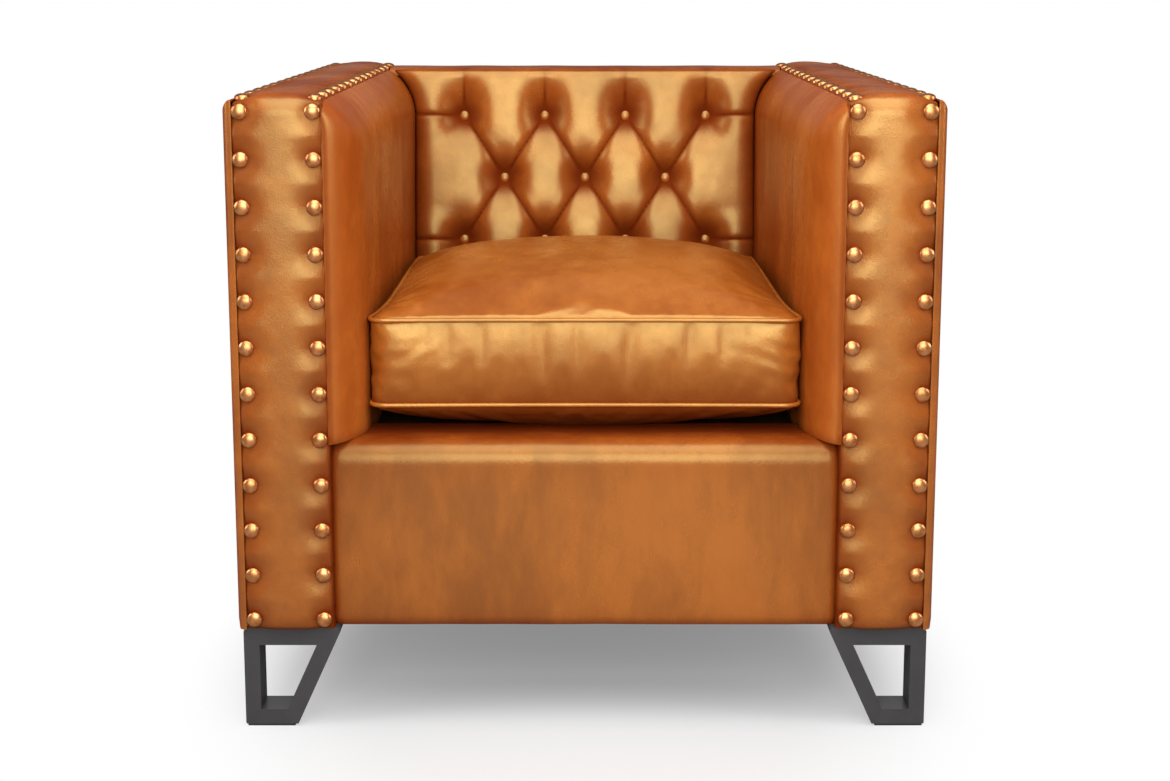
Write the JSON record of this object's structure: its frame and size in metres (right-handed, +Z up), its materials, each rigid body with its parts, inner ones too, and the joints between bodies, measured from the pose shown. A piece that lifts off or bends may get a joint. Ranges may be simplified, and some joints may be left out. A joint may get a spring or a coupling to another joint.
{
  "type": "leather club armchair",
  "caption": "Boxy leather club armchair with level arms and back, nailed arm bands, diamond-tufted inside back, loose piped seat cushion and open trapezoid metal legs.",
  "frame": {"origin": "on the floor under the middle of the overall box", "axes": "+Z up, -Y to the front of the chair, +X to the right as seen from the front"},
  "size_m": [0.8, 0.8346, 0.7347],
  "materials": {
    "leather": "semi-gloss aniline leather in cognac brown",
    "frame_wood": "planed hardwood",
    "panel_board": "raw board",
    "foam": "cut upholstery foam",
    "webbing": "woven elastic",
    "felt": "needled felt",
    "deck_cloth": "plain woven cloth",
    "dust_cloth": "black non-woven cloth",
    "cord": "waxed twine",
    "nail_brass": "polished antique brass",
    "zip_tape": "woven tape",
    "zip_metal": "antique brass",
    "leg_metal": "dark grey satin powder coat",
    "screw_steel": "zinc plated",
    "glide_plastic": "black nylon"
  },
  "bodies": {
    "chair": {"back_cover": "leather", "back_crest_rail": "frame_wood", "back_foam": "foam", "back_panel": "frame_wood", "back_rail": "frame_wood", "back_stay_rail": "frame_wood", "back_top_cover": "leather", "back_top_foam": "foam", "back_top_rail": "frame_wood", "button_ties": "cord", "corner_blocks": "frame_wood", "cross_webbing": "webbing", "deck_cloth": "deck_cloth", "deck_felt": "felt", "deck_foam": "foam", "dust_cover": "dust_cloth", "foot_glides": "glide_plastic", "front_rail": "frame_wood", "front_rail_cover": "leather", "front_rail_foam": "foam", "left_arm_band": "leather", "left_arm_foam": "foam", "left_arm_nails": "nail_brass", "left_arm_rail": "frame_wood", "left_arm_stay": "frame_wood", "left_back_post": "frame_wood", "left_band_foam": "foam", "left_front_leg": "leg_metal", "left_front_post": "frame_wood", "left_inside_arm_cover": "leather", "left_outside_arm_board": "panel_board", "left_outside_arm_cover": "leather", "left_rear_leg": "leg_metal", "left_side_rail": "frame_wood", "leg_screws": "screw_steel", "length_webbing": "webbing", "outside_back_board": "panel_board", "outside_back_cover": "leather", "right_arm_band": "leather", "right_arm_foam": "foam", "right_arm_nails": "nail_brass", "right_arm_rail": "frame_wood", "right_arm_stay": "frame_wood", "right_back_post": "frame_wood", "right_band_foam": "foam", "right_front_leg": "leg_metal", "right_front_post": "frame_wood", "right_inside_arm_cover": "leather", "right_outside_arm_board": "panel_board", "right_outside_arm_cover": "leather", "right_rear_leg": "leg_metal", "right_side_rail": "frame_wood", "tuft_buttons": "leather"},
    "cushion": {"cushion_core": "foam", "cushion_cover": "leather", "cushion_welts": "leather", "cushion_zip": "zip_tape"},
    "slider": {"zip_slider": "zip_metal"}
  },
  "joints": [
    {"name": "cushion_lift", "type": "slide", "parent": "chair", "child": "cushion", "axis": [0, 0, 1], "range_m": [0, 0.42]},
    {"name": "zip_slide", "type": "slide", "parent": "cushion", "child": "slider", "axis": [1, 0, 0], "range_m": [0, 0.39]}
  ]
}
